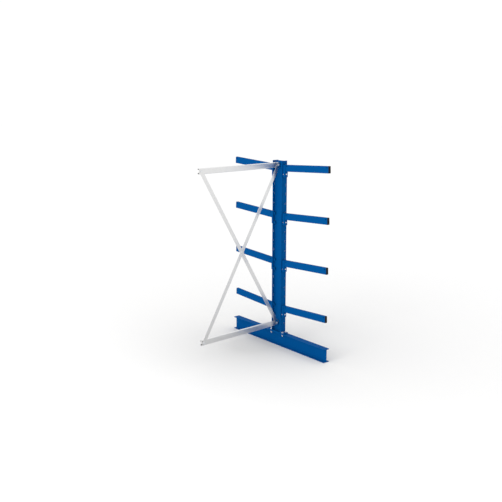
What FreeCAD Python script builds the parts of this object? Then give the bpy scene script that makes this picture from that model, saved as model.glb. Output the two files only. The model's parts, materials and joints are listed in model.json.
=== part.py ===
import FreeCAD, Part
import math
import os

import Sketcher

# A double-sided cantilever rack: one I-section column on a base beam, four pairs of hook-in arms,
# and the galvanised bracing bay that ties it to the next column.
# Frame: origin on the floor under the column's axis, +Z up, arms along X, bracing towards -Y.

# ---------------------------------------------------------------------------------------------------------
# Driving dimensions, in millimetres and degrees
# ---------------------------------------------------------------------------------------------------------
DIMENSIONS = [
    ("column_length", 1840.0, "I-section column, above the foot plate"),
    ("column_depth", 140.0, "over both flanges, along X"),
    ("column_width", 73.0, "flange width, along Y"),
    ("column_web", 4.7, "web thickness"),
    ("column_flange", 6.9, "flange thickness"),
    ("column_root", 7.0, "rolled radius between web and flange"),
    ("base_length", 1442.0, "I-section base beam, along X"),
    ("base_depth", 140.0, "floor to top flange"),
    ("base_width", 73.0, "flange width"),
    ("base_web", 4.7, "web thickness"),
    ("base_flange", 6.9, "flange thickness"),
    ("base_root", 7.0, "rolled radius"),
    ("end_hole", 14.0, "spare holes near the ends of the base's top flange"),
    ("end_hole_inset", 78.0, "from the beam's end"),
    ("end_hole_gauge", 40.0, "across the flange"),
    ("foot_length", 230.0, "plate welded under the column"),
    ("foot_width", 70.0, "across the base"),
    ("foot_thickness", 12.0, "plate thickness"),
    ("foot_bolt_reach", 18.0, "bolt axis beyond the column's flange"),
    ("foot_bolt_gauge", 44.0, "between bolts across the base"),
    ("foot_bolt", 12.0, "bolt diameter"),
    ("foot_bolt_head", 7.5, "head height"),
    ("foot_bolt_flats", 18.0, "head and nut across flats"),
    ("foot_bolt_tail", 9.0, "thread past the nut"),
    ("foot_nut", 10.8, "nut height"),
    ("foot_washer", 24.0, "washer diameter"),
    ("foot_washer_thickness", 2.5, "washer thickness"),
    ("hole_play", 2.0, "bolt hole over bolt diameter"),
    ("thread_play", 0.2, "nut bore over bolt diameter"),
    ("slot_first", 95.0, "lowest slot centre above the foot plate"),
    ("slot_pitch", 100.0, "between slot centres"),
    ("slot_count", 18.0, "slots in a row"),
    ("slot_length", 30.0, "end to end"),
    ("slot_play", 0.5, "beside a hook, each side"),
    ("level_first", 300.0, "lowest arm's top above the foot plate, at the column"),
    ("level_spacing", 500.0, "between arm levels"),
    ("level_count", 4.0, "arm levels"),
    ("arm_length", 628.0, "tube, along its own axis"),
    ("arm_width", 30.0, "tube width"),
    ("arm_height", 70.0, "tube height"),
    ("arm_wall", 3.0, "tube wall"),
    ("arm_corner", 5.0, "tube corner radius"),
    ("arm_incline", 3.0, "degrees, tip up"),
    ("arm_gap", 2.0, "between the tube's end and the column"),
    ("arm_hole", 12.0, "cross holes in the tube"),
    ("arm_hole_drop", 16.0, "below the tube's top"),
    ("arm_hole_root", 48.0, "from the tube's inner end"),
    ("arm_hole_tip", 20.0, "from the tube's outer end"),
    ("cap_rim", 3.0, "rim outside the tube's end"),
    ("cap_plug", 12.0, "plug inside the tube"),
    ("cap_wall", 2.0, "plug wall"),
    ("cap_play", 0.3, "between plug and tube"),
    ("bracket_depth", 28.0, "cheeks, out from the column"),
    ("bracket_height", 128.0, "cheeks, down from the arm's top"),
    ("bracket_plate", 6.0, "cheek and front plate thickness"),
    ("bracket_gap", 0.5, "between the cheeks and the column's flange"),
    ("bracket_chamfer", 4.0, "lower outer corner"),
    ("bracket_step", 2.0, "front plate's top below the tube"),
    ("hook_below_top", 5.0, "upper slot's centre below the arm's top"),
    ("hook_height", 26.0, "hook, top to tip"),
    ("hook_drop", 9.0, "tip below the slot's seat"),
    ("hook_length", 18.0, "tip behind the flange"),
    ("hook_gap", 0.5, "tip to flange"),
    ("hook_seat_gap", 0.2, "hook above the slot's rounded end"),
    ("screw", 8.0, "locking screw diameter"),
    ("screw_drop", 96.0, "locking screw below the arm's top"),
    ("screw_head", 5.3, "head height"),
    ("screw_flats", 13.0, "head across flats"),
    ("barrel", 12.0, "cross barrel diameter"),
    ("barrel_offset", 9.0, "barrel axis out from the column"),
    ("barrel_proud", 1.5, "barrel past each cheek"),
    ("bay_width", 1038.0, "this column's axis to the next one's"),
    ("rail_height", 55.0, "lipped channel"),
    ("rail_depth", 22.0, "lipped channel, along X"),
    ("rail_wall", 2.5, "channel wall"),
    ("rail_lip", 13.0, "channel lip"),
    ("rail_corner", 4.0, "outer bend radius"),
    ("rail_gap", 3.0, "between the channel's end and the column's web"),
    ("lug_thickness", 5.0, "plate welded to the column's web, inside the channel"),
    ("lug_height", 40.0, "lug plate"),
    ("lug_length", 45.0, "lug plate, out from the web"),
    ("lug_corner", 5.0, "lug plate's outer corners"),
    ("rail_low", 95.0, "lower rail's axis above the foot plate"),
    ("rail_high", 1795.0, "upper rail's axis above the foot plate"),
    ("brace_bolt", 10.0, "bracing bolt diameter"),
    ("brace_bolt_head", 6.4, "head height"),
    ("brace_bolt_flats", 16.0, "head and nut across flats"),
    ("brace_bolt_tail", 2.5, "thread past the nut"),
    ("brace_nut", 8.4, "nut height"),
    ("packing_washer", 20.0, "washer under the bar that lies over its twin"),
    ("diagonal_width", 40.0, "flat bar"),
    ("diagonal_thickness", 3.0, "flat bar"),
    ("diagonal_inset", 22.0, "bar's end bolt from the rail's end"),
]

doc = FreeCAD.newDocument("CantileverRack")
sheet = doc.addObject("Spreadsheet::Sheet", "sizes")
for row, (alias, number, note) in enumerate(DIMENSIONS, start=1):
    sheet.set(f"A{row}", alias)
    sheet.set(f"B{row}", str(number))
    sheet.set(f"C{row}", note)
    sheet.setAlias(f"B{row}", alias)
doc.recompute()


class Size:
    """A number that remembers the sheet expression it comes from."""

    def __init__(self, value, text):
        self.value = value
        self.text = text

    def __add__(self, other):
        other = as_size(other)
        return Size(self.value + other.value, f"({self.text} + {other.text})")

    def __sub__(self, other):
        other = as_size(other)
        return Size(self.value - other.value, f"({self.text} - {other.text})")

    def __mul__(self, other):
        other = as_size(other)
        return Size(self.value * other.value, f"({self.text} * {other.text})")

    def __truediv__(self, other):
        other = as_size(other)
        return Size(self.value / other.value, f"({self.text} / {other.text})")

    def __neg__(self):
        return Size(-self.value, f"(-{self.text})")

    def __radd__(self, other):
        return as_size(other) + self

    def __rsub__(self, other):
        return as_size(other) - self

    def __rmul__(self, other):
        return as_size(other) * self


def as_size(number):
    return number if isinstance(number, Size) else Size(float(number), f"{number}")


def root(size):
    return Size(math.sqrt(size.value), f"sqrt({size.text})")


class Cells:
    """The sheet's driving dimensions as attributes."""


d = Cells()
for alias, number, note in DIMENSIONS:
    setattr(d, alias, Size(float(sheet.get(alias)), f"sizes.{alias}"))

# Heights and places that several pieces share
foot_top = d.base_depth + d.foot_thickness
column_face = d.column_depth / 2
web_face = d.column_web / 2
cheek_middle = d.arm_width / 2 + d.bracket_plate / 2
bracket_width = d.arm_width + 2 * d.bracket_plate
slot_width = d.bracket_plate + 2 * d.slot_play
foot_bolt_x = column_face + d.foot_bolt_reach
rail_heights = {"top": foot_top + d.rail_high, "bottom": foot_top + d.rail_low}
rail_inner = -(web_face + d.rail_gap)
rail_outer = web_face + d.rail_gap - d.bay_width
rail_face = d.lug_thickness / 2 + d.rail_wall
rail_line = rail_face - d.rail_depth / 2
SIDES = {"right": 0, "left": 180}
LEVELS = range(1, int(d.level_count.value) + 1)


# ---------------------------------------------------------------------------------------------------------
# Helpers: sketches, features and placements bound to the sheet
# ---------------------------------------------------------------------------------------------------------
kept = []


def bind(item, path, size):
    item.setExpression(path, as_size(size).text)


def place(item, x=0, y=0, z=0, yaw=0, pitch=0, roll=0):
    x, y, z, yaw, pitch, roll = (as_size(value).text for value in (x, y, z, yaw, pitch, roll))
    item.setExpression("Placement", f"placement(vector({x}; {y}; {z}); rotation({yaw}; {pitch}; {roll}))")


def keep(item, name):
    item.Label = name
    kept.append(item)
    return item


def new_body(name):
    return keep(doc.addObject("PartDesign::Body", name), name)


def new_sketch(body, role, name, offset=None):
    sketch = body.newObject("Sketcher::SketchObject", name)
    plane = next(item for item in body.Origin.OriginFeatures if item.Role == role)
    sketch.AttachmentSupport = [(plane, "")]
    sketch.MapMode = "FlatFace"
    if offset is not None:
        bind(sketch, "AttachmentOffset.Base.z", offset)
    return sketch


def pin_point(sketch, geometry, point, x, y):
    for axis, size in (("DistanceX", as_size(x)), ("DistanceY", as_size(y))):
        index = sketch.addConstraint(Sketcher.Constraint(axis, -1, 1, geometry, point, size.value))
        bind(sketch, f"Constraints[{index}]", size)


def polygon(sketch, corners):
    """A closed outline with every corner dimensioned from the sketch's origin."""
    first = sketch.GeometryCount
    points = [FreeCAD.Vector(as_size(x).value, as_size(y).value, 0) for x, y in corners]
    count = len(points)
    for index, point in enumerate(points):
        sketch.addGeometry(Part.LineSegment(point, points[(index + 1) % count]))
    for index in range(count):
        after = first + (index + 1) % count
        sketch.addConstraint(Sketcher.Constraint("Coincident", first + index, 2, after, 1))
    for index, (x, y) in enumerate(corners):
        pin_point(sketch, first + index, 1, x, y)


def rectangle(sketch, low_x, low_y, high_x, high_y):
    polygon(sketch, [(low_x, low_y), (high_x, low_y), (high_x, high_y), (low_x, high_y)])


def circle(sketch, x, y, diameter):
    centre = FreeCAD.Vector(as_size(x).value, as_size(y).value, 0)
    index = sketch.addGeometry(Part.Circle(centre, FreeCAD.Vector(0, 0, 1), diameter.value / 2))
    pin_point(sketch, index, 3, x, y)
    size = sketch.addConstraint(Sketcher.Constraint("Diameter", index, diameter.value))
    bind(sketch, f"Constraints[{size}]", diameter)


def obround(sketch, start, end, width):
    """Two half circles joined by two tangent lines."""
    radius = width.value / 2
    a = FreeCAD.Vector(as_size(start[0]).value, as_size(start[1]).value, 0)
    b = FreeCAD.Vector(as_size(end[0]).value, as_size(end[1]).value, 0)
    heading = math.atan2(b.y - a.y, b.x - a.x)
    across = FreeCAD.Vector(-math.sin(heading), math.cos(heading), 0) * radius
    normal = FreeCAD.Vector(0, 0, 1)
    quarter = math.pi / 2
    cap_a = Part.ArcOfCircle(Part.Circle(a, normal, radius), heading + quarter, heading + 3 * quarter)
    cap_b = Part.ArcOfCircle(Part.Circle(b, normal, radius), heading - quarter, heading + quarter)
    first = sketch.GeometryCount
    sketch.addGeometry(cap_a)
    sketch.addGeometry(Part.LineSegment(a - across, b - across))
    sketch.addGeometry(cap_b)
    sketch.addGeometry(Part.LineSegment(b + across, a + across))
    for index in range(4):
        after = first + (index + 1) % 4
        sketch.addConstraint(Sketcher.Constraint("Tangent", first + index, 2, after, 1))
    pin_point(sketch, first, 3, *start)
    pin_point(sketch, first + 2, 3, *end)
    sketch.addConstraint(Sketcher.Constraint("Equal", first, first + 2))
    size = sketch.addConstraint(Sketcher.Constraint("Radius", first, radius))
    bind(sketch, f"Constraints[{size}]", width / 2)


def pad(body, sketch, name, length, symmetric=False, reverse=False):
    feature = body.newObject("PartDesign::Pad", name)
    feature.Profile = sketch
    bind(feature, "Length", length)
    if symmetric:
        feature.SideType = "Symmetric"
    feature.Reversed = reverse
    return feature


def pocket(body, sketch, name, length=None):
    """A cut centred on its sketch: through everything, or of one total length."""
    feature = body.newObject("PartDesign::Pocket", name)
    feature.Profile = sketch
    feature.SideType = "Symmetric"
    if length is None:
        feature.Type = "ThroughAll"
    else:
        bind(feature, "Length", length)
    return feature


def fillet(body, feature, name, radius, wanted):
    """Round the straight edges of a feature whose middle passes the wanted test."""
    doc.recompute()
    names = []
    for index, edge in enumerate(feature.Shape.Edges, start=1):
        middle = edge.valueAt((edge.FirstParameter + edge.LastParameter) / 2)
        if edge.Curve.TypeId == "Part::GeomLine" and wanted(middle, edge.tangentAt(edge.FirstParameter)):
            names.append(f"Edge{index}")
    rounded = body.newObject("PartDesign::Fillet", name)
    rounded.Base = (feature, names)
    bind(rounded, "Radius", radius)
    return rounded


def near(value, target, tolerance=0.01):
    return abs(value - target) < tolerance


def i_section(sketch, depth, width, web, flange, swap=False, rise=0):
    """The twelve corners of an I-section, its web along the sketch's X, or along Y when swapped."""
    quarter = [(depth / 2, width / 2), (depth / 2 - flange, width / 2), (depth / 2 - flange, web / 2)]
    corners = [(x, -y) for x, y in quarter[::-1]]
    corners += quarter
    corners += [(-x, y) for x, y in quarter[::-1]]
    corners += [(-x, -y) for x, y in quarter]
    if swap:
        corners = [(y, x + rise) for x, y in corners]
    polygon(sketch, corners)


# ---------------------------------------------------------------------------------------------------------
# Base beam, foot plate and column
# ---------------------------------------------------------------------------------------------------------
def make_base_beam():
    body = new_body("base_beam")
    section = new_sketch(body, "YZ_Plane", "base_section")
    middle = d.base_depth / 2
    i_section(section, d.base_depth, d.base_width, d.base_web, d.base_flange, swap=True, rise=middle)
    beam = pad(body, section, "base_pad", d.base_length, symmetric=True)
    inner = middle.value - d.base_flange.value
    side = d.base_web.value / 2
    fillet(
        body, beam, "base_roots", d.base_root,
        lambda at, along: near(abs(at.y), side) and near(abs(at.z - middle.value), inner)
        and near(abs(along.x), 1),
    )
    holes = new_sketch(body, "XY_Plane", "base_holes", offset=d.base_depth)
    for x_side in (-1, 1):
        for y_side in (-1, 1):
            bolt_y = y_side * d.foot_bolt_gauge / 2
            spare_x = x_side * (d.base_length / 2 - d.end_hole_inset)
            circle(holes, x_side * foot_bolt_x, bolt_y, d.foot_bolt + d.hole_play)
            circle(holes, spare_x, y_side * d.end_hole_gauge / 2, d.end_hole)
    pocket(body, holes, "base_drilling", d.base_depth)


def make_foot_plate():
    body = new_body("foot_plate")
    outline = new_sketch(body, "XY_Plane", "foot_outline")
    rectangle(outline, -d.foot_length / 2, -d.foot_width / 2, d.foot_length / 2, d.foot_width / 2)
    pad(body, outline, "foot_pad", d.foot_thickness)
    holes = new_sketch(body, "XY_Plane", "foot_holes")
    for x_side in (-1, 1):
        for y_side in (-1, 1):
            circle(holes, x_side * foot_bolt_x, y_side * d.foot_bolt_gauge / 2, d.foot_bolt + d.hole_play)
    pocket(body, holes, "foot_drilling")
    place(body, z=d.base_depth)


def make_column():
    body = new_body("column")
    section = new_sketch(body, "XY_Plane", "column_section")
    i_section(section, d.column_depth, d.column_width, d.column_web, d.column_flange)
    shaft = pad(body, section, "column_pad", d.column_length)
    inner = d.column_depth.value / 2 - d.column_flange.value
    side = d.column_web.value / 2
    fillet(
        body, shaft, "column_roots", d.column_root,
        lambda at, along: near(abs(at.y), side) and near(abs(at.x), inner) and near(abs(along.z), 1),
    )
    slots = new_sketch(body, "YZ_Plane", "slot_pair")
    half = (d.slot_length - slot_width) / 2
    for y_side in (-1, 1):
        y = y_side * cheek_middle
        obround(slots, (y, d.slot_first - half), (y, d.slot_first + half), slot_width)
    cut = pocket(body, slots, "slot_cut")
    rows = body.newObject("PartDesign::LinearPattern", "slot_rows")
    rows.Originals = [cut]
    rows.Direction = (section, ["N_Axis"])
    rows.Mode = "Spacing"
    bind(rows, "Offset", d.slot_pitch)
    bind(rows, "Occurrences", d.slot_count)
    body.Tip = rows
    place(body, z=foot_top)


# ---------------------------------------------------------------------------------------------------------
# Arms: a square-cut tube tipped up by its incline, a hook-in bracket and an end cap
# ---------------------------------------------------------------------------------------------------------
def arm_height_at(level):
    return foot_top + d.level_first + (level - 1) * d.level_spacing


def place_on_column(item, side, level, out, pitch=0):
    """Put a piece drawn with +X outwards on one side of the column, at an arm level."""
    turn = SIDES[side]
    reach = out if turn == 0 else -out
    place(item, x=reach, z=arm_height_at(level), yaw=turn, pitch=pitch)


def tube_section(sketch, inset=0):
    half = d.arm_width / 2 - inset
    rectangle(sketch, -half, inset - d.arm_height, half, -as_size(inset))


def make_arm_tube(side, level):
    body = new_body(f"arm_tube_{side}_{level}")
    outside = new_sketch(body, "YZ_Plane", f"{body.Name}_section")
    tube_section(outside)
    blank = pad(body, outside, f"{body.Name}_pad", d.arm_length)
    edge_y = d.arm_width.value / 2
    fillet(
        body, blank, f"{body.Name}_corners", d.arm_corner,
        lambda at, along: near(abs(at.y), edge_y) and near(abs(along.x), 1),
    )
    inside = new_sketch(body, "YZ_Plane", f"{body.Name}_bore")
    tube_section(inside, inset=d.arm_wall)
    pocket(body, inside, f"{body.Name}_hollow")
    holes = new_sketch(body, "XZ_Plane", f"{body.Name}_holes")
    for x in (d.arm_hole_root, d.arm_length - d.arm_hole_tip):
        circle(holes, x, -d.arm_hole_drop, d.arm_hole)
    pocket(body, holes, f"{body.Name}_drilling")
    place_on_column(body, side, level, column_face + d.arm_gap, pitch=-d.arm_incline)


def make_arm_cap(side, level):
    body = new_body(f"arm_cap_{side}_{level}")
    rim_sketch = new_sketch(body, "YZ_Plane", f"{body.Name}_rim_outline", offset=d.arm_length)
    tube_section(rim_sketch)
    rim = pad(body, rim_sketch, f"{body.Name}_rim", d.cap_rim)
    edge_y = d.arm_width.value / 2
    fillet(
        body, rim, f"{body.Name}_corners", d.arm_corner,
        lambda at, along: near(abs(at.y), edge_y) and near(abs(along.x), 1),
    )
    plug_sketch = new_sketch(body, "YZ_Plane", f"{body.Name}_plug_outline", offset=d.arm_length)
    plug_inset = d.arm_wall + d.cap_play
    tube_section(plug_sketch, inset=plug_inset)
    tube_section(plug_sketch, inset=plug_inset + d.cap_wall)
    pad(body, plug_sketch, f"{body.Name}_plug", d.cap_plug, reverse=True)
    place_on_column(body, side, level, column_face + d.arm_gap, pitch=-d.arm_incline)


def make_arm_bracket(side, level):
    """Two cheeks with a hook pair each, joined by a front plate under the tube."""
    body = new_body(f"arm_bracket_{side}_{level}")
    back = d.bracket_gap
    slot_radius = slot_width / 2
    half_plate = d.bracket_plate / 2
    seat = slot_radius - root(slot_radius * slot_radius - half_plate * half_plate) + d.hook_seat_gap
    behind = -(d.column_flange + d.hook_gap)
    tip = behind - d.hook_length
    corners = [
        (back, 0),
        (d.bracket_depth, 0),
        (d.bracket_depth, d.bracket_chamfer - d.bracket_height),
        (d.bracket_depth - d.bracket_chamfer, -d.bracket_height),
        (back, -d.bracket_height),
    ]
    for lower in (1, 0):
        neck = seat - d.hook_below_top - d.slot_length / 2 - lower * d.slot_pitch
        corners += [
            (back, neck),
            (behind, neck),
            (behind, neck - d.hook_drop),
            (tip, neck - d.hook_drop),
            (tip, neck - d.hook_drop + d.hook_height),
            (back, neck - d.hook_drop + d.hook_height),
        ]
    cheeks = new_sketch(body, "XZ_Plane", f"{body.Name}_outline")
    polygon(cheeks, corners)
    blank = pad(body, cheeks, f"{body.Name}_pad", bracket_width, symmetric=True)
    tip_x = tip.value
    fillet(
        body, blank, f"{body.Name}_hook_tips", d.hook_length / 3,
        lambda at, along: near(at.x, tip_x) and near(abs(along.y), 1),
    )
    room = new_sketch(body, "XZ_Plane", f"{body.Name}_room")
    plate_top = -(d.arm_height + d.bracket_step)
    plate_back = d.bracket_depth - d.bracket_plate
    past = d.bracket_height + d.slot_length
    polygon(room, [
        (-d.column_depth, d.slot_length),
        (d.column_depth, d.slot_length),
        (d.column_depth, plate_top),
        (plate_back, plate_top),
        (plate_back, -past),
        (-d.column_depth, -past),
    ])
    pocket(body, room, f"{body.Name}_channel", d.arm_width)
    screw_hole = new_sketch(body, "YZ_Plane", f"{body.Name}_screw_hole")
    circle(screw_hole, 0, -d.screw_drop, d.screw + d.hole_play / 2)
    pocket(body, screw_hole, f"{body.Name}_screw_drilling")
    barrel_hole = new_sketch(body, "XZ_Plane", f"{body.Name}_barrel_hole")
    circle(barrel_hole, d.barrel_offset, -d.screw_drop, d.barrel + d.thread_play)
    pocket(body, barrel_hole, f"{body.Name}_barrel_drilling")
    place_on_column(body, side, level, column_face)


# ---------------------------------------------------------------------------------------------------------
# Fasteners: Part primitives and booleans
# ---------------------------------------------------------------------------------------------------------
def cylinder(name, diameter, height, z=0):
    item = doc.addObject("Part::Cylinder", name)
    bind(item, "Radius", diameter / 2)
    bind(item, "Height", height)
    place(item, z=z)
    return item


def hexagon(name, flats, height, z=0):
    item = doc.addObject("Part::Prism", name)
    item.Polygon = 6
    bind(item, "Circumradius", flats / as_size(2 * math.cos(math.pi / 6)))
    bind(item, "Height", height)
    place(item, z=z)
    return item


def combine(kind, name, base, tool):
    item = doc.addObject(kind, name)
    item.Base = base
    item.Tool = tool
    return item


def hex_bolt(name, diameter, length, flats, head):
    """Bearing face at z = 0, head above it and shank below."""
    return combine(
        "Part::Fuse", name,
        hexagon(f"{name}_head", flats, head),
        cylinder(f"{name}_shank", diameter, length, z=-length),
    )


def hex_nut(name, diameter, flats, height):
    return combine(
        "Part::Cut", name,
        hexagon(f"{name}_blank", flats, height),
        cylinder(f"{name}_bore", diameter + d.thread_play, height),
    )


def washer(name, diameter, outer, thickness):
    return combine(
        "Part::Cut", name,
        cylinder(f"{name}_blank", outer, thickness),
        cylinder(f"{name}_hole", diameter + d.hole_play / 2, thickness),
    )


def group(name, pieces):
    item = keep(doc.addObject("Part::Compound", name), name)
    item.Links = pieces


def make_foot_fasteners():
    """Heads on the foot plate, nuts and their washers under the base's top flange."""
    bolts, washers, nuts = [], [], []
    grip = d.foot_thickness + d.base_flange
    length = grip + 2 * d.foot_washer_thickness + d.foot_nut + d.foot_bolt_tail
    under = d.base_depth - d.base_flange
    for x_side in (-1, 1):
        for y_side in (-1, 1):
            x = x_side * foot_bolt_x
            y = y_side * d.foot_bolt_gauge / 2
            number = len(bolts) + 1
            bolt = hex_bolt(f"foot_bolt_{number}", d.foot_bolt, length, d.foot_bolt_flats, d.foot_bolt_head)
            place(bolt, x, y, foot_top + d.foot_washer_thickness)
            bolts.append(bolt)
            for where, z in (("upper", foot_top), ("lower", under - d.foot_washer_thickness)):
                ring = washer(
                    f"foot_washer_{where}_{number}", d.foot_bolt, d.foot_washer, d.foot_washer_thickness
                )
                place(ring, x, y, z)
                washers.append(ring)
            nut = hex_nut(f"foot_nut_{number}", d.foot_bolt, d.foot_bolt_flats, d.foot_nut)
            place(nut, x, y, under - d.foot_washer_thickness - d.foot_nut)
            nuts.append(nut)
    group("foot_bolts", bolts)
    group("foot_washers", washers)
    group("foot_nuts", nuts)


def make_locking_screws(side):
    """A screw through each front plate and its cross barrel, its tip against the column's flange."""
    screws, barrels = [], []
    direction = 1 if SIDES[side] == 0 else -1
    barrel_length = bracket_width + 2 * d.barrel_proud
    for level in LEVELS:
        z = arm_height_at(level) - d.screw_drop
        name = f"{side}_{level}"
        screw = hex_bolt(f"screw_{name}", d.screw, d.bracket_depth, d.screw_flats, d.screw_head)
        place(screw, direction * (column_face + d.bracket_depth), 0, z, pitch=90 * direction)
        screws.append(screw)
        barrel = cylinder(f"barrel_blank_{name}", d.barrel, barrel_length, z=-barrel_length / 2)
        thread = cylinder(f"barrel_thread_{name}", d.screw + d.thread_play, 2 * d.barrel)
        place(thread, x=-d.barrel, pitch=90)
        drilled = combine("Part::Cut", f"barrel_{name}", barrel, thread)
        place(drilled, direction * (column_face + d.barrel_offset), 0, z, roll=90)
        barrels.append(drilled)
    group(f"locking_screws_{side}", screws)
    group(f"locking_barrels_{side}", barrels)


# ---------------------------------------------------------------------------------------------------------
# Bracing bay: lugs on the column's web, two lipped channels bolted to them, and two crossed flat bars
# ---------------------------------------------------------------------------------------------------------
def make_rail(where):
    """A lipped channel with its web towards +X and its open side towards -X."""
    body = new_body(f"brace_rail_{where}")
    half = d.rail_height / 2
    face = d.rail_depth / 2
    wall = d.rail_wall
    span = rail_inner - rail_outer
    section = new_sketch(body, "XZ_Plane", f"{body.Name}_section")
    polygon(section, [
        (face, -half),
        (face, half),
        (-face, half),
        (-face, half - d.rail_lip),
        (wall - face, half - d.rail_lip),
        (wall - face, half - wall),
        (face - wall, half - wall),
        (face - wall, wall - half),
        (wall - face, wall - half),
        (wall - face, d.rail_lip - half),
        (-face, d.rail_lip - half),
        (-face, -half),
    ])
    channel = pad(body, section, f"{body.Name}_pad", span)
    edge_x = face.value
    edge_z = half.value
    fillet(
        body, channel, f"{body.Name}_bends", d.rail_corner,
        lambda at, along: near(abs(at.x), edge_x) and near(abs(at.z), edge_z) and near(abs(along.y), 1),
    )
    holes = new_sketch(body, "YZ_Plane", f"{body.Name}_holes")
    for y in (-d.diagonal_inset, d.diagonal_inset - span):
        circle(holes, y, 0, d.brace_bolt + d.hole_play)
    pocket(body, holes, f"{body.Name}_drilling")
    place(body, x=rail_line, y=rail_inner, z=rail_heights[where])


def make_lug(where):
    """A drilled plate, welded edge-on to the column's web, that the channel's end slips over."""
    body = new_body(f"brace_lug_{where}")
    half = d.lug_height / 2
    outline = new_sketch(body, "YZ_Plane", f"{body.Name}_outline")
    rectangle(outline, -(web_face + d.lug_length), -half, -web_face, half)
    blank = pad(body, outline, f"{body.Name}_pad", d.lug_thickness, symmetric=True)
    tip_y = -(web_face + d.lug_length).value
    fillet(
        body, blank, f"{body.Name}_corners", d.lug_corner,
        lambda at, along: near(at.y, tip_y) and near(abs(along.x), 1),
    )
    hole = new_sketch(body, "YZ_Plane", f"{body.Name}_hole")
    circle(hole, rail_inner - d.diagonal_inset, 0, d.brace_bolt + d.hole_play)
    pocket(body, hole, f"{body.Name}_drilling")
    place(body, z=rail_heights[where])


def make_diagonal(name, layer, inner_height, outer_height):
    """A flat bar with rounded ends, bolted to the rails' webs and to its twin at the crossing."""
    body = new_body(name)
    outline = new_sketch(body, "YZ_Plane", f"{name}_outline")
    inner = (rail_inner - d.diagonal_inset, inner_height)
    outer = (rail_outer + d.diagonal_inset, outer_height)
    obround(outline, inner, outer, d.diagonal_width)
    pad(body, outline, f"{name}_pad", d.diagonal_thickness)
    holes = new_sketch(body, "YZ_Plane", f"{name}_holes")
    middle = ((inner[0] + outer[0]) / 2, (inner[1] + outer[1]) / 2)
    for y, z in (inner, middle, outer):
        circle(holes, y, z, d.brace_bolt + d.hole_play)
    pocket(body, holes, f"{name}_drilling")
    place(body, x=rail_face + layer * d.diagonal_thickness)


def make_diagonal_fasteners():
    """Heads outside the bars, nuts inside the channels, packing under the bar that lies over its twin.

    At the column each bolt also goes through the lug.
    """
    bolts, nuts, packings = [], [], []
    layers = {"top_outer": 0, "bottom_inner": 0, "bottom_outer": 1, "top_inner": 1}
    for corner, layer in layers.items():
        where, end = corner.split("_")
        height = rail_heights[where]
        y = rail_inner - d.diagonal_inset if end == "inner" else rail_outer + d.diagonal_inset
        outside = rail_face + (layer + 1) * d.diagonal_thickness
        inside = rail_face - d.rail_wall
        if end == "inner":
            inside = inside - d.lug_thickness
        length = outside - inside + d.brace_nut + d.brace_bolt_tail
        bolt = hex_bolt(f"bar_bolt_{corner}", d.brace_bolt, length, d.brace_bolt_flats, d.brace_bolt_head)
        place(bolt, outside, y, height, pitch=90)
        bolts.append(bolt)
        nut = hex_nut(f"bar_nut_{corner}", d.brace_bolt, d.brace_bolt_flats, d.brace_nut)
        place(nut, inside - d.brace_nut, y, height, pitch=90)
        nuts.append(nut)
        if layer:
            name = f"bar_packing_{corner}"
            packing = washer(name, d.brace_bolt, d.packing_washer, layer * d.diagonal_thickness)
            place(packing, rail_face, y, height, pitch=90)
            packings.append(packing)
    group("diagonal_bolts", bolts)
    group("diagonal_nuts", nuts)
    group("packing_washers", packings)
    middle_y = (rail_inner + rail_outer) / 2
    middle_z = (rail_heights["top"] + rail_heights["bottom"]) / 2
    outside = rail_face + 2 * d.diagonal_thickness
    length = 2 * d.diagonal_thickness + d.brace_nut + d.brace_bolt_tail
    bolt = hex_bolt("crossing_bolt_piece", d.brace_bolt, length, d.brace_bolt_flats, d.brace_bolt_head)
    place(bolt, outside, middle_y, middle_z, pitch=90)
    keep(bolt, "crossing_bolt")
    nut = hex_nut("crossing_nut_piece", d.brace_bolt, d.brace_bolt_flats, d.brace_nut)
    place(nut, rail_face - d.brace_nut, middle_y, middle_z, pitch=90)
    keep(nut, "crossing_nut")


# ---------------------------------------------------------------------------------------------------------
# Build, check and write
# ---------------------------------------------------------------------------------------------------------
def check_and_write():
    doc.recompute()
    for item in doc.Objects:
        if "Invalid" in item.State or "Error" in item.State:
            raise RuntimeError(f"{item.Label} failed: {item.State}")
    os.makedirs("parts", exist_ok=True)
    for item in kept:
        shape = item.Shape
        if shape.isNull() or not shape.isValid():
            raise RuntimeError(f"{item.Label} has no valid shape")
        shape.exportStep(os.path.join("parts", f"{item.Label}.step"))
        print(f"{item.Label}: {len(shape.Solids)} solid(s), {shape.Volume / 1000:.1f} cm3")
    print(f"{len(kept)} nodes")


make_base_beam()
make_foot_plate()
make_column()
make_foot_fasteners()
for side in SIDES:
    for level in LEVELS:
        make_arm_tube(side, level)
        make_arm_bracket(side, level)
        make_arm_cap(side, level)
    make_locking_screws(side)
for where in rail_heights:
    make_rail(where)
    make_lug(where)
make_diagonal("brace_diagonal_falling", 0, rail_heights["bottom"], rail_heights["top"])
make_diagonal("brace_diagonal_rising", 1, rail_heights["top"], rail_heights["bottom"])
make_diagonal_fasteners()
check_and_write()
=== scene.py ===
# %% [markdown]
# # A double-sided cantilever rack
# This rack stores long goods such as bars and boards. One I-section column stands on a base beam, four
# pairs of arms hook into slots in its flanges, and a galvanised cross-braced bay ties it to the next
# column. Every solid is already made to size, so this lesson is about what turns exact solids into a
# believable object: paint, zinc, weld beads, real bolts, and light.

import json
import math

import bmesh
import bpy
from mathutils import Matrix, Vector


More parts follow.
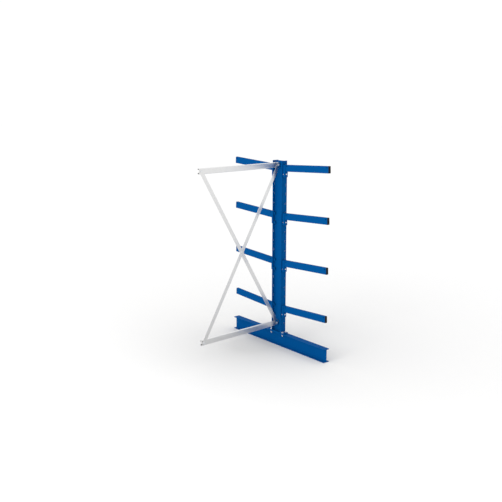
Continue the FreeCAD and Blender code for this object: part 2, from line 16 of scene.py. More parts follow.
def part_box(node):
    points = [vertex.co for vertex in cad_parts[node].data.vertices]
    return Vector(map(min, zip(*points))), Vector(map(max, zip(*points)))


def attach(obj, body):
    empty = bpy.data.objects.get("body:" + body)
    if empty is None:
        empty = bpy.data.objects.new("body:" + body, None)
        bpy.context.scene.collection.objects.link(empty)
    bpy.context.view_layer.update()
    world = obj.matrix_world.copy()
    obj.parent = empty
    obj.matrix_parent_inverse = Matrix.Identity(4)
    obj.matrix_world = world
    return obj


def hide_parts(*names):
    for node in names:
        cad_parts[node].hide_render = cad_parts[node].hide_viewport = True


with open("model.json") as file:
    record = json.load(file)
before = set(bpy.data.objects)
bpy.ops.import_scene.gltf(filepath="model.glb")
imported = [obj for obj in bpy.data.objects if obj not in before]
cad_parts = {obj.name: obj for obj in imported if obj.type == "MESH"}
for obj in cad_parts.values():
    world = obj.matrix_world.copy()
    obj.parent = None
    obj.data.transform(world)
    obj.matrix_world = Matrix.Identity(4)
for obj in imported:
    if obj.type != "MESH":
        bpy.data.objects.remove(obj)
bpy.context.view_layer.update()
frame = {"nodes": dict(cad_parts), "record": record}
slot_of = {part["node"]: part["material_slot"] for part in frame["record"]["subparts"]}

# %% [markdown]
# The camera comes first, because it decides how much detail each surface needs. It stands off the
# rack's right front corner, a little above the top arms, and looks slightly down. A long lens keeps the
# column's edges nearly parallel. The direction is given as an azimuth and an elevation, so that it is
# easy to see where the view comes from.

# %% Camera
MM = 0.001
LOOK_AT = Vector((0.5135, -0.8243, 1.2412))
AZIMUTH, ELEVATION, DISTANCE = math.radians(49.787), math.radians(12.539), 6.4687
SENSOR_WIDTH, LENS = 36.0, 50.212
towards_camera = Vector((
    math.sin(AZIMUTH) * math.cos(ELEVATION),
    -math.cos(AZIMUTH) * math.cos(ELEVATION),
    math.sin(ELEVATION),
))
camera_data = bpy.data.cameras.new("camera")
camera_data.sensor_width = SENSOR_WIDTH
camera_data.lens = LENS
camera = bpy.data.objects.new("camera", camera_data)
camera.location = LOOK_AT + towards_camera * DISTANCE
camera.rotation_euler = (-towards_camera).to_track_quat("-Z", "Y").to_euler()
bpy.context.scene.collection.objects.link(camera)
bpy.context.scene.camera = camera
bpy.context.scene.view_settings.view_transform = "Standard"
print("camera at", [round(v, 3) for v in camera.location])

# %% [markdown]
# Node trees are long-winded when every socket is linked by hand. A few small helpers keep the materials
# readable. An input may be a plain value or another node's output, and the nodes that turn up most
# often, such as noise and a change of range, have a helper of their own.

# %% Node helpers
def linear(red, green, blue):
    """A colour picker's 0-255 colour as the linear values that shaders use."""
    def channel(value):
        value /= 255
        return value / 12.92 if value <= 0.04045 else ((value + 0.055) / 1.055) ** 2.4
    return channel(red), channel(green), channel(blue), 1.0


def fill(tree, node, inputs):
    """Link outputs to, or set values on, a node's inputs."""
    for name, value in inputs.items():
        if isinstance(value, bpy.types.NodeSocket):
            tree.links.new(value, node.inputs[name])
        else:
            node.inputs[name].default_value = value


def plug(tree, node, **inputs):
    """Fill inputs by name; underscores stand for the spaces in a socket's name."""
    fill(tree, node, {name.replace("_", " "): value for name, value in inputs.items()})


def add_node(tree, kind, inputs=None, **settings):
    node = tree.nodes.new(kind)
    for name, value in settings.items():
        setattr(node, name, value)
    fill(tree, node, inputs or {})
    return node


def object_place(tree):
    return add_node(tree, "ShaderNodeTexCoord").outputs["Object"]


def noise(tree, place, scale, detail, roughness=0.5):
    inputs = {"Vector": place, "Scale": scale, "Detail": detail, "Roughness": roughness}
    return add_node(tree, "ShaderNodeTexNoise", inputs).outputs


def map_range(tree, value, span=(0.0, 1.0), to=(0.0, 1.0)):
    """Carry a value from one span to another, and hold it inside the second."""
    inputs = {"Value": value, "From Min": span[0], "From Max": span[1], "To Min": to[0], "To Max": to[1]}
    return add_node(tree, "ShaderNodeMapRange", inputs).outputs[0]


def multiply(tree, first, second):
    return add_node(tree, "ShaderNodeMath", {0: first, 1: second}, operation="MULTIPLY").outputs[0]


def mix_values(tree, amount, first, second):
    inputs = {0: amount, 2: first, 3: second}
    return add_node(tree, "ShaderNodeMix", inputs, data_type="FLOAT").outputs[0]


def mix_colours(tree, amount, first, second):
    inputs = {0: amount, 6: first, 7: second}
    return add_node(tree, "ShaderNodeMix", inputs, data_type="RGBA").outputs[2]


print("helpers ready")

# %% [markdown]
# A node group packs a tree behind named sockets, so that it is built once and used in many materials.

# %% Group helpers
def new_group(name, inputs, outputs):
    """A group tree with named sockets; inputs map to defaults, outputs to socket kinds."""
    kinds = {float: "NodeSocketFloat", tuple: "NodeSocketColor"}
    tree = bpy.data.node_groups.new(name, "ShaderNodeTree")
    for label, default in inputs.items():
        socket = tree.interface.new_socket(label, in_out="INPUT", socket_type=kinds[type(default)])
        socket.default_value = default
    for label, kind in outputs.items():
        tree.interface.new_socket(label, in_out="OUTPUT", socket_type=kind)
    source = tree.nodes.new("NodeGroupInput")
    result = tree.nodes.new("NodeGroupOutput")
    return tree, source.outputs, result.inputs


def use_group(tree, group, **inputs):
    """Place a group in a material and fill its inputs."""
    node = add_node(tree, "ShaderNodeGroup", node_tree=group)
    plug(tree, node, **inputs)
    return node.outputs


print("groups can be built")

# %% [markdown]
# Four effects turn up in more than one finish, so each is a node group, built once:
# a fine unevenness that gives a coat or a cast skin its grain, dust that settles on faces which look
# up, a softening of edges that are mathematically sharp, with a mask for the wear they get, and scuffs.
# They work in object coordinates. Every node of the rack shares one origin, so the grain keeps its real
# scale and runs on without a seam from piece to piece.

# %% Group: fine grain
FINE_DETAIL, BROAD_DETAIL = 2.0, 4.0


def build_grain():
    tree, given, result = new_group(
        "Fine grain",
        {"Scale": 500.0, "Broad Scale": 6.0, "Broad Share": 0.4},
        {"Height": "NodeSocketFloat", "Shade": "NodeSocketFloat"},
    )
    place = object_place(tree)
    fine = noise(tree, place, given["Scale"], FINE_DETAIL)[0]
    broad = noise(tree, place, given["Broad Scale"], BROAD_DETAIL)[0]
    tree.links.new(fine, result["Height"])
    tree.links.new(mix_values(tree, given["Broad Share"], fine, broad), result["Shade"])
    return tree


GRAIN = build_grain()
print(GRAIN.name, "made")

# %% [markdown]
# Dust only stays on faces that look up, so its mask starts from the normal's upward share. A noise
# breaks it into patches, and where dust lies the surface turns rougher as well as paler.

# %% Group: settled dust
DUST_SLOPE = (0.5, 0.98)  # the normal's upward share where dust begins to stay, and where all of it does
PATCH_SCALE, PATCH_DETAIL, PATCH_SPAN = 14.0, 6.0, (0.35, 0.7)
DUST_ROUGHNESS = 0.9


def build_dust():
    tree, given, result = new_group(
        "Settled dust",
        {"Color": (0.5, 0.5, 0.5, 1.0), "Dust Color": (0.6, 0.57, 0.52, 1.0), "Amount": 0.1,
         "Roughness": 0.4},
        {"Color": "NodeSocketColor", "Roughness": "NodeSocketFloat"},
    )
    normal = add_node(tree, "ShaderNodeNewGeometry").outputs["Normal"]
    up = add_node(tree, "ShaderNodeSeparateXYZ", {0: normal}).outputs["Z"]
    facing_up = map_range(tree, up, DUST_SLOPE)
    patches = noise(tree, object_place(tree), PATCH_SCALE, PATCH_DETAIL)[0]
    mask = multiply(tree, facing_up, map_range(tree, patches, PATCH_SPAN))
    mask = multiply(tree, mask, given["Amount"])
    tree.links.new(mix_colours(tree, mask, given["Color"], given["Dust Color"]), result["Color"])
    tree.links.new(mix_values(tree, mask, given["Roughness"], DUST_ROUGHNESS), result["Roughness"])
    return tree


DUST = build_dust()
print(DUST.name, "made")

# %% [markdown]
# A solid made to size has edges with no radius, which real steel never has. The bevel node bends the
# normals near an edge as if it were rounded. Where the bent normal parts from the flat one there is an
# edge, and that is the mask for wear. The grain's bump goes on top of the bent normal.

# %% Group: softened edges
BEVEL_SAMPLES = 4
EDGE_SPAN = (0.995, 0.85)  # how alike the rounded and the flat normal are, off an edge and on it


def build_soft_edges():
    tree, given, result = new_group(
        "Softened edges",
        {"Radius": 0.001, "Grain Height": 0.5, "Grain Depth": 0.00002},
        {"Normal": "NodeSocketVector", "Edge": "NodeSocketFloat"},
    )
    rounded = add_node(
        tree, "ShaderNodeBevel", {"Radius": given["Radius"]}, samples=BEVEL_SAMPLES
    ).outputs[0]
    flat = add_node(tree, "ShaderNodeNewGeometry").outputs["Normal"]
    alike = add_node(
        tree, "ShaderNodeVectorMath", {0: rounded, 1: flat}, operation="DOT_PRODUCT"
    ).outputs["Value"]
    bump = add_node(
        tree, "ShaderNodeBump",
        {"Height": given["Grain Height"], "Distance": given["Grain Depth"], "Normal": rounded},
    ).outputs[0]
    tree.links.new(bump, result["Normal"])
    tree.links.new(map_range(tree, alike, EDGE_SPAN), result["Edge"])
    return tree


SOFT_EDGES = build_soft_edges()
print(SOFT_EDGES.name, "made")

# %% [markdown]
# Scuffs are thin and come in groups. A noise stretched along one direction makes the scratches, and a
# second, broad noise decides in which areas they show.

# %% Group: handling scuffs
SCUFF_STRETCH, SCUFF_TURN = (1.0, 0.12, 1.6), (0.3, 0.2, 0.5)
SCRATCH_SCALE, SCRATCH_DETAIL, SCRATCH_ROUGHNESS, SCRATCH_SPAN = 170.0, 3.0, 0.7, (0.66, 0.74)
AREA_SCALE, AREA_DETAIL, AREA_SPAN = 5.0, 3.0, (0.5, 0.66)


def build_scuffs():
    tree, given, result = new_group(
        "Handling scuffs",
        {"Color": (0.5, 0.5, 0.5, 1.0), "Scuff Color": (0.6, 0.6, 0.6, 1.0), "Amount": 0.1},
        {"Color": "NodeSocketColor"},
    )
    place = object_place(tree)
    drawn_out = add_node(
        tree, "ShaderNodeMapping", {"Vector": place, "Scale": SCUFF_STRETCH, "Rotation": SCUFF_TURN}
    ).outputs[0]
    scratches = noise(tree, drawn_out, SCRATCH_SCALE, SCRATCH_DETAIL, SCRATCH_ROUGHNESS)[0]
    areas = noise(tree, place, AREA_SCALE, AREA_DETAIL)[0]
    mask = multiply(
        tree, map_range(tree, scratches, SCRATCH_SPAN), map_range(tree, areas, AREA_SPAN)
    )
    mask = multiply(tree, mask, given["Amount"])
    tree.links.new(mix_colours(tree, mask, given["Color"], given["Scuff Color"]), result["Color"])
    return tree


SCUFFS = build_scuffs()
print(SCUFFS.name, "made")

# %% [markdown]
# The column, base and arms are powder coated in a strong gentian blue. Powder melts into a thick, even
# skin with a slight orange peel, and it pulls a little thin on sharp edges. So the colour hardly varies,
# the bump is very shallow at a scale of about a millimetre, and the edge mask only lightens the blue a
# touch. The white tent would wash the blue out through its sheen, so the specular is nearly off: that
# suits this light, and a close view of real powder would show more gloss.

# %% Blue powder coat
BLUE, BLUE_DEEP, BLUE_THIN = linear(0, 76, 138), linear(0, 74, 136), linear(2, 84, 148)
BLUE_SCUFF = linear(30, 100, 155)
BLUE_EDGE, BLUE_PEEL, BLUE_THINNING = 1.2 * MM, 0.04 * MM, 0.35
BLUE_SCUFFED, BLUE_DUST, BLUE_SPECULAR, BLUE_ROUGHNESS = 0.08, 0.003, 0.01, (0.42, 0.52)


def start_material(name):
    material = bpy.data.materials.new(name)
    material.use_nodes = True
    tree = material.node_tree
    return material, tree, tree.nodes["Principled BSDF"]


def make_blue_paint():
    material, tree, shader = start_material("blue_powder_coat")
    grain = use_group(tree, GRAIN, Scale=700.0, Broad_Scale=4.0, Broad_Share=0.6)
    edges = use_group(
        tree, SOFT_EDGES, Radius=BLUE_EDGE, Grain_Height=grain["Height"], Grain_Depth=BLUE_PEEL
    )
    body = mix_colours(tree, grain["Shade"], BLUE_DEEP, BLUE)
    thinned = mix_colours(tree, multiply(tree, edges["Edge"], BLUE_THINNING), body, BLUE_THIN)
    scuffed = use_group(tree, SCUFFS, Color=thinned, Scuff_Color=BLUE_SCUFF, Amount=BLUE_SCUFFED)
    gloss = map_range(tree, grain["Shade"], to=BLUE_ROUGHNESS)
    dusty = use_group(tree, DUST, Color=scuffed["Color"], Amount=BLUE_DUST, Roughness=gloss)
    plug(tree, shader, Base_Color=dusty["Color"], Roughness=dusty["Roughness"], Normal=edges["Normal"])
    plug(tree, shader, Specular_IOR_Level=BLUE_SPECULAR)
    return material


print("blue", [round(v, 3) for v in BLUE[:3]])

# %% [markdown]
# The bracing is cold-formed from galvanised strip. Fresh zinc is bright and a little milky, with faint
# crystals, the spangle, where the coat froze. A Voronoi texture gives each crystal its own small shift
# in brightness and roughness, and a noise drawn out along the strip adds the mill's rolling lines.
# It is fully metallic, so the blue column shows as a soft reflection in the rails beside it. Inside the
# channels a mask from ambient occlusion mixes in a darker grey. This is painted shade, which makes the
# open ends read as hollow.

# %% Galvanised strip
ZINC_LIGHT, ZINC_DARK, ZINC_PAINTED_SHADE = linear(235, 235, 234), linear(232, 232, 232), linear(170, 171, 173)
CRYSTAL_SCALE, CRYSTAL_WARP, WARP_SCALE, WARP_DETAIL = 120.0, 0.015, 60.0, 2.0
ROLLING_STRETCH, ROLLING_DETAIL, ROLLING_SHARE = (900.0, 6.0, 300.0), 3.0, 0.35
INSIDE_REACH, INSIDE_SAMPLES, INSIDE_SPAN = 0.03, 6, (0.25, 0.6)
ZINC_EDGE, ZINC_DEPTH = 0.0004, 0.000002
ZINC_DUST, ZINC_ROUGHNESS = 0.03, (0.30, 0.33)


def make_galvanised():
    material, tree, shader = start_material("galvanised_strip")
    place = object_place(tree)
    warp = noise(tree, place, WARP_SCALE, WARP_DETAIL)["Color"]
    bent = mix_colours(tree, CRYSTAL_WARP, place, warp)
    crystals = add_node(tree, "ShaderNodeTexVoronoi", {"Vector": bent, "Scale": CRYSTAL_SCALE})
    value = add_node(tree, "ShaderNodeSeparateColor", {0: crystals.outputs["Color"]}).outputs[0]
    rolled = add_node(tree, "ShaderNodeMapping", {"Vector": place, "Scale": ROLLING_STRETCH}).outputs[0]
    lines = noise(tree, rolled, 1.0, ROLLING_DETAIL)[0]
    shade = mix_values(tree, ROLLING_SHARE, value, lines)
    spangled = mix_colours(tree, shade, ZINC_DARK, ZINC_LIGHT)
    # Painted shade: an ambient occlusion mask darkens the zinc colour inside the channels and in other
    # recesses.
    open_sky = add_node(
        tree, "ShaderNodeAmbientOcclusion", {"Distance": INSIDE_REACH}, samples=INSIDE_SAMPLES
    ).outputs["AO"]
    colour = mix_colours(tree, map_range(tree, open_sky, INSIDE_SPAN), ZINC_PAINTED_SHADE, spangled)
    grain = use_group(tree, GRAIN, Scale=900.0, Broad_Scale=8.0, Broad_Share=0.3)
    edges = use_group(
        tree, SOFT_EDGES, Radius=ZINC_EDGE, Grain_Height=grain["Height"], Grain_Depth=ZINC_DEPTH
    )
    gloss = map_range(tree, shade, to=ZINC_ROUGHNESS)
    dusty = use_group(tree, DUST, Color=colour, Amount=ZINC_DUST, Roughness=gloss)
    plug(tree, shader, Base_Color=dusty["Color"], Roughness=dusty["Roughness"], Normal=edges["Normal"])
    plug(tree, shader, Metallic=1.0)
    return material


print("zinc", [round(v, 3) for v in ZINC_LIGHT[:3]])

# %% [markdown]
# Bolts, nuts and washers are plated with zinc under a clear, slightly milky passivation. They catch the
# light as small sparks even against the blue. The milkiness is the last bit that isn't metallic, and a
# fine grain breaks up the gloss.

# %% Plated fasteners
PLATE_DARK, PLATE_LIGHT, PLATE_SCUFF = linear(222, 224, 227), linear(238, 239, 241), linear(170, 168, 165)
PLATE_EDGE, PLATE_DEPTH = 0.0004, 0.00001
PLATE_SCUFFED, PLATE_METAL, PLATE_ROUGHNESS = 0.15, 0.85, (0.22, 0.36)


def make_plating():
    material, tree, shader = start_material("bright_zinc_plate")
    grain = use_group(tree, GRAIN, Scale=1800.0, Broad_Scale=90.0, Broad_Share=0.5)
    edges = use_group(
        tree, SOFT_EDGES, Radius=PLATE_EDGE, Grain_Height=grain["Height"], Grain_Depth=PLATE_DEPTH
    )
    colour = mix_colours(tree, grain["Shade"], PLATE_DARK, PLATE_LIGHT)
    worn = use_group(tree, SCUFFS, Color=colour, Scuff_Color=PLATE_SCUFF, Amount=PLATE_SCUFFED)
    gloss = map_range(tree, grain["Shade"], to=PLATE_ROUGHNESS)
    plug(tree, shader, Base_Color=worn["Color"], Roughness=gloss, Normal=edges["Normal"])
    plug(tree, shader, Metallic=PLATE_METAL)
    return material


print("plating", [round(v, 3) for v in PLATE_LIGHT[:3]])

# %% [markdown]
# The arm caps are moulded in black plastic. The mould is spark-eroded, which leaves a fine even grain,
# and black plastic is really a dark grey that shows dust before anything else does.

# %% Black plastic
BLACK_DARK, BLACK_LIGHT, BLACK_SCUFF = linear(20, 20, 20), linear(27, 26, 26), linear(80, 80, 80)
BLACK_EDGE, BLACK_DEPTH = 0.0004, 0.00005
BLACK_SCUFFED, BLACK_DUST, BLACK_ROUGHNESS, BLACK_SPECULAR = 0.10, 0.03, 0.6, 0.12


def make_plastic():
    material, tree, shader = start_material("black_moulded_plastic")
    grain = use_group(tree, GRAIN, Scale=1400.0, Broad_Scale=30.0, Broad_Share=0.35)
    edges = use_group(
        tree, SOFT_EDGES, Radius=BLACK_EDGE, Grain_Height=grain["Height"], Grain_Depth=BLACK_DEPTH
    )
    colour = mix_colours(tree, grain["Shade"], BLACK_DARK, BLACK_LIGHT)
    scuffed = use_group(tree, SCUFFS, Color=colour, Scuff_Color=BLACK_SCUFF, Amount=BLACK_SCUFFED)
    dusty = use_group(
        tree, DUST, Color=scuffed["Color"], Amount=BLACK_DUST, Roughness=BLACK_ROUGHNESS
    )
    plug(tree, shader, Base_Color=dusty["Color"], Roughness=dusty["Roughness"], Normal=edges["Normal"])
    plug(tree, shader, Specular_IOR_Level=BLACK_SPECULAR)
    return material


FINISHES = {
    "blue_paint": make_blue_paint(),
    "galvanised_steel": make_galvanised(),
    "zinc_fastener": make_plating(),
    "black_plastic": make_plastic(),
}
for name, node in frame["nodes"].items():
    node.data.materials.clear()
    node.data.materials.append(FINISHES[slot_of[name]])
print("finishes:", sorted(FINISHES))

# %% [markdown]
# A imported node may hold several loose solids, such as all four foot bolts. To put a detailed bolt
# where each plain one stands, the script needs each solid's own box. A copy of the mesh is welded into
# one skin per solid, and a flood fill over its edges gathers the vertices that belong together.

# %% Find the solids in a node
WELD_DISTANCE = 0.01 * MM
SORT_DIGITS = 4


def solid_boxes(node):
    """(lowest corner, highest corner) of every loose solid in a node, from low to high in Z."""
    mesh = bmesh.new()
    mesh.from_mesh(frame["nodes"][node].data)
    bmesh.ops.remove_doubles(mesh, verts=mesh.verts, dist=WELD_DISTANCE)
    waiting, boxes = set(mesh.verts), []
    while waiting:
        front, members = [waiting.pop()], []
        while front:
            vertex = front.pop()
            members.append(vertex.co.copy())
            for edge in vertex.link_edges:
                other = edge.other_vert(vertex)
                if other in waiting:
                    waiting.discard(other)
                    front.append(other)
        boxes.append((
            Vector([min(c[axis] for c in members) for axis in range(3)]),
            Vector([max(c[axis] for c in members) for axis in range(3)]),
        ))
    mesh.free()
    return sorted(boxes, key=lambda box: [round(box[0][axis], SORT_DIGITS) for axis in (2, 0, 1)])


def middle(box):
    return (box[0] + box[1]) / 2


print("foot bolts at", [tuple(round(v, 3) for v in middle(box)) for box in solid_boxes("foot_bolts")])

# %% [markdown]
# Everything round about a fastener can be lofted: a stack of closed rings with the same number of
# points, joined by quads, and capped at both ends. One helper does this for heads, shanks, threads,
# nuts and washers, and later for the weld beads. A ring is only a list of points, so it may be a
# circle, a hexagon or anything between.

# %% Loft rings into a closed skin
RING_POINTS = 48
CHAMFER_ANGLE = math.radians(30)


def loft(mesh, rings, place=Matrix.Identity(4), closed=False):
    """Join rings of points by quads; the ends are capped, or joined to each other when closed."""
    rows = [[mesh.verts.new(place @ Vector(point)) for point in ring] for ring in rings]
    pairs = list(zip(rows, rows[1:])) + ([(rows[-1], rows[0])] if closed else [])
    for lower, upper in pairs:
        for index in range(len(lower)):
            after = (index + 1) % len(lower)
            mesh.faces.new((lower[index], lower[after], upper[after], upper[index]))
    if not closed:
        mesh.faces.new(rows[0][::-1])
        mesh.faces.new(rows[-1])


def circle_ring(radius, z):
    step = 2 * math.pi / RING_POINTS
    return [(radius * math.cos(i * step), radius * math.sin(i * step), z) for i in range(RING_POINTS)]


def hexagon_reach(flats, angle):
    """Distance from the axis to a hexagon's side in one direction."""
    sector = math.pi / 3
    return flats / 2 / math.cos((angle + sector / 2) % sector - sector / 2)


def hexagon_ring(flats, z, chamfer_from=None):
    """A hexagonal ring; with chamfer_from, the corners drop as a turned chamfer leaves them."""
    points = []
    for index in range(RING_POINTS):
        angle = 2 * math.pi * index / RING_POINTS
        reach = hexagon_reach(flats, angle)
        drop = 0 if chamfer_from is None else max(0, reach - chamfer_from) * math.tan(CHAMFER_ANGLE)
        points.append((reach * math.cos(angle), reach * math.sin(angle), z - drop))
    return points


def finish_piece(name, mesh, slot_name, replaced=(), smooth_angle=40):
    """Turn a bmesh into a piece that rides on the rack and takes its finish from a slot."""
    bmesh.ops.recalc_face_normals(mesh, faces=mesh.faces)
    data = bpy.data.meshes.new(name)
    mesh.to_mesh(data)
    mesh.free()
    data.shade_smooth()
    data.set_sharp_from_angle(angle=math.radians(smooth_angle))
    data.materials.append(FINISHES[slot_name])
    piece = bpy.data.objects.new(name, data)
    bpy.context.scene.collection.objects.link(piece)
    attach(piece, "root")
    if replaced:
        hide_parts(*replaced)
    print(f"{name}: {len(data.polygons)} faces")


print("ring of", RING_POINTS, "points")

# %% [markdown]
# A hexagon head is forged with a dished top, a turned chamfer that cuts a curved line across each side,
# and a thin round washer face underneath. The thread is a ridge that climbs by one pitch for each turn:
# its radius depends on how far the height is from the helix at that angle. Sampling that function on
# fine rings gives a real thread without building a helix.

# %% Bolts, nuts and washers
THREAD_STEPS = 6
THREAD_DEPTH, THREAD_LEAD = 0.61, 0.2  # shares of the pitch
TIP_NARROWING, TIP_SLOPE = 0.6, 1.2
HEAD_TOP, WASHER_FACE, FACE_HEIGHT = 0.47, 0.475, 0.3 * MM  # the first two are shares of the flats
HEAD_DISH = ((0.42, 0.35 * MM), (0.62, 0.3 * MM), (0.68, 0))  # share of the top's radius, depth
NUT_LIP, WASHER_ROUND = 0.6 * MM, 0.4 * MM


def thread_rings(radius, pitch, start, end):
    """Rings from start down to end; the tip narrows so that a nut would find it."""
    depth = THREAD_DEPTH * pitch
    count = max(2, int(THREAD_STEPS * abs(end - start) / pitch))
    rings = []
    for step in range(count + 1):
        z = start + (end - start) * step / count
        tip_limit = radius - TIP_NARROWING * depth + abs(end - z) * TIP_SLOPE
        ring = []
        for index in range(RING_POINTS):
            angle = 2 * math.pi * index / RING_POINTS
            phase = (z / pitch - index / RING_POINTS) % 1.0
            ridge = 1 - abs(2 * phase - 1)
            reach = min(radius - depth * (1 - ridge), tip_limit)
            ring.append((reach * math.cos(angle), reach * math.sin(angle), z))
        rings.append(ring)
    return rings


def add_bolt(mesh, place, flats, head, radius, pitch, length, plain):
    """A hexagon bolt with its bearing face at z = 0, the head above and the shank below."""
    top = HEAD_TOP * flats
    rings = [circle_ring(share * top, head - depth) for share, depth in HEAD_DISH]
    rings += [circle_ring(top, head), hexagon_ring(flats, head, chamfer_from=top)]
    rings += [hexagon_ring(flats, FACE_HEIGHT)]
    rings += [circle_ring(WASHER_FACE * flats, FACE_HEIGHT), circle_ring(WASHER_FACE * flats, 0)]
    rings += [circle_ring(radius, 0), circle_ring(radius, -plain)]
    rings += thread_rings(radius, pitch, -plain - THREAD_LEAD * pitch, -length)
    loft(mesh, rings, place)


def add_nut(mesh, place, flats, height, bore):
    """A nut from z = 0 to its height, chamfered on both faces and countersunk at both ends."""
    top = WASHER_FACE * flats
    lower = [(x, y, height - z) for x, y, z in hexagon_ring(flats, height, chamfer_from=top)]
    rings = [circle_ring(bore, NUT_LIP), circle_ring(bore + NUT_LIP, 0), circle_ring(top, 0), lower]
    rings += [hexagon_ring(flats, height, chamfer_from=top), circle_ring(top, height)]
    rings += [circle_ring(bore + NUT_LIP, height), circle_ring(bore, height - NUT_LIP)]
    loft(mesh, rings, place, closed=True)


def add_washer(mesh, place, outer, bore, thickness):
    """A stamped washer: rounded where the die went in, a small burr-free edge where it came out."""
    round_off = min(WASHER_ROUND, thickness / 4)
    rings = [circle_ring(bore, 0), circle_ring(outer - round_off / 3, 0)]
    rings += [circle_ring(outer, round_off / 3), circle_ring(outer, thickness - round_off)]
    rings += [circle_ring(outer - 0.3 * round_off, thickness - 0.3 * round_off)]
    rings += [circle_ring(outer - round_off, thickness), circle_ring(bore + round_off / 2, thickness)]
    rings += [circle_ring(bore, thickness - round_off / 2)]
    loft(mesh, rings, place, closed=True)


print("thread sampled", THREAD_STEPS, "times a pitch")

# %% [markdown]
# Each fastener is placed by a matrix that turns its own Z axis, the way the head looks, into the
# direction it has on the rack. Real hexagons never line up with each other after tightening, so each
# one also gets its own twist. A turned hexagon still fits in the circle through its corners, so a head
# reaches at most a millimetre or two further sideways than the plain one whose place it takes.

# %% Place fasteners by their heads
UP, OUT_X, OUT_Y = Vector((0, 0, 1)), Vector((1, 0, 0)), Vector((0, 1, 0))
TWIST_STEP, HEXAGON_REPEAT = 47, 60  # degrees; a hexagon looks the same after each sixth of a turn
NUT_SHIFT = 3


def aim(point, direction, twist=0.0):
    """A matrix that stands a piece at a point with its Z axis along a direction."""
    turn = direction.to_track_quat("Z", "Y").to_matrix().to_4x4()
    return Matrix.Translation(point) @ turn @ Matrix.Rotation(math.radians(twist), 4, "Z")


def twist_of(index):
    return (index * TWIST_STEP) % HEXAGON_REPEAT


def end_face(box, direction):
    """The middle of the box's face on the side that a direction points to."""
    point = middle(box)
    for axis in range(3):
        if abs(direction[axis]) > 0.5:
            point[axis] = box[1][axis] if direction[axis] > 0 else box[0][axis]
    return point


def length_along(box, direction):
    return abs((box[1] - box[0]).dot(direction))


def bolt_set(node, direction, flats, head, radius, pitch, plain):
    """Swap a node's plain bolts for detailed ones; their heads look along the direction."""
    mesh = bmesh.new()
    for index, box in enumerate(solid_boxes(node)):
        length = length_along(box, direction) - head
        bearing = end_face(box, direction) - direction * head
        place = aim(bearing, direction, twist_of(index))
        add_bolt(mesh, place, flats, head, radius, pitch, length, plain)
    finish_piece(f"{node}_threaded", mesh, "zinc_fastener", [node])


def nut_set(node, direction, flats, bore):
    mesh = bmesh.new()
    for index, box in enumerate(solid_boxes(node)):
        place = aim(end_face(box, -direction), direction, twist_of(index + NUT_SHIFT))
        add_nut(mesh, place, flats, length_along(box, direction), bore)
    finish_piece(f"{node}_chamfered", mesh, "zinc_fastener", [node])


def washer_set(node, direction, outer, bore):
    mesh = bmesh.new()
    for box in solid_boxes(node):
        place = aim(end_face(box, -direction), direction)
        add_washer(mesh, place, outer, bore, length_along(box, direction))
    finish_piece(f"{node}_stamped", mesh, "zinc_fastener", [node])


print("places ready")

# %% [markdown]
# Three thread sizes are used. Flats, head height, shank radius and pitch are the trade's usual ones for
# each size. What changes from joint to joint is only how much of the shank is left plain.

# %% Thread sizes
M8 = {"flats": 13 * MM, "head": 5.3 * MM, "radius": 4 * MM, "pitch": 1.25 * MM}
M10 = {"flats": 16 * MM, "head": 6.4 * MM, "radius": 5 * MM, "pitch": 1.5 * MM}
M12 = {"flats": 18 * MM, "head": 7.5 * MM, "radius": 6 * MM, "pitch": 1.75 * MM}
M10_BORE, M12_BORE = 5.1 * MM, 6.1 * MM
FOOT_PLAIN, LOCKING_PLAIN, BRACING_PLAIN = 22 * MM, 1 * MM, 4 * MM
print("sizes: M8, M10, M12")

# %% [markdown]
# Four bolts hold the foot plate to the base. Their heads look up and their nuts sit below the flange, so
# the nuts are turned the other way.

# %% Foot bolts, M12
bolt_set("foot_bolts", UP, **M12, plain=FOOT_PLAIN)
nut_set("foot_nuts", -UP, M12["flats"], M12_BORE)
washer_set("foot_washers", UP, 12 * MM, 6.5 * MM)

# %% [markdown]
# Each arm's bracket has one locking screw, which turns in a cross barrel. Its head looks outwards, away
# from the column, so the two sides need opposite directions.

# %% Locking screws, M8
bolt_set("locking_screws_right", OUT_X, **M8, plain=LOCKING_PLAIN)
bolt_set("locking_screws_left", -OUT_X, **M8, plain=LOCKING_PLAIN)

# %% [markdown]
# The crossed bars are bolted at their four ends, and to each other where they cross. All the heads look
# along X, and the nuts sit behind them.

# %% Bracing bolts, M10
bolt_set("diagonal_bolts", OUT_X, **M10, plain=BRACING_PLAIN)
nut_set("diagonal_nuts", -OUT_X, M10["flats"], M10_BORE)
washer_set("packing_washers", OUT_X, 10 * MM, 5.5 * MM)
bolt_set("crossing_bolt", OUT_X, **M10, plain=BRACING_PLAIN)
nut_set("crossing_nut", -OUT_X, M10["flats"], M10_BORE)

# %% [markdown]
# The arm caps are pushed into the tubes. A moulded cap has a soft rounded rim, a face that sits a hair
# below that rim, and a hollow plug that narrows at its inner end, so that it finds the tube. The outline
# is a rounded rectangle, and the same loft stacks it with changing insets to round the rim.

# %% Moulded end caps
ARM_WIDTH, ARM_HEIGHT, ARM_WALL, ARM_CORNER = 30 * MM, 70 * MM, 3 * MM, 5 * MM
ARM_LENGTH, ARM_TILT = 628 * MM, math.radians(3)
CORNER_STEPS, LEAST_ROUND = 8, 0.3 * MM


def rounded_outline(inset, x):
    """The tube's outline, inset all round, as points at one distance along the arm."""
    half_width, half_height = ARM_WIDTH / 2 - inset, ARM_HEIGHT / 2 - inset
    radius = max(ARM_CORNER - inset, LEAST_ROUND)
    centres = [(1, 1, 0), (-1, 1, 90), (-1, -1, 180), (1, -1, 270)]
    points = []
    for side_y, side_z, first in centres:
        for step in range(CORNER_STEPS + 1):
            angle = math.radians(first + 90 * step / CORNER_STEPS)
            y = side_y * (half_width - radius) + radius * math.cos(angle)
            z = side_z * (half_height - radius) + radius * math.sin(angle)
            points.append((x, y, z - ARM_HEIGHT / 2))
    return points


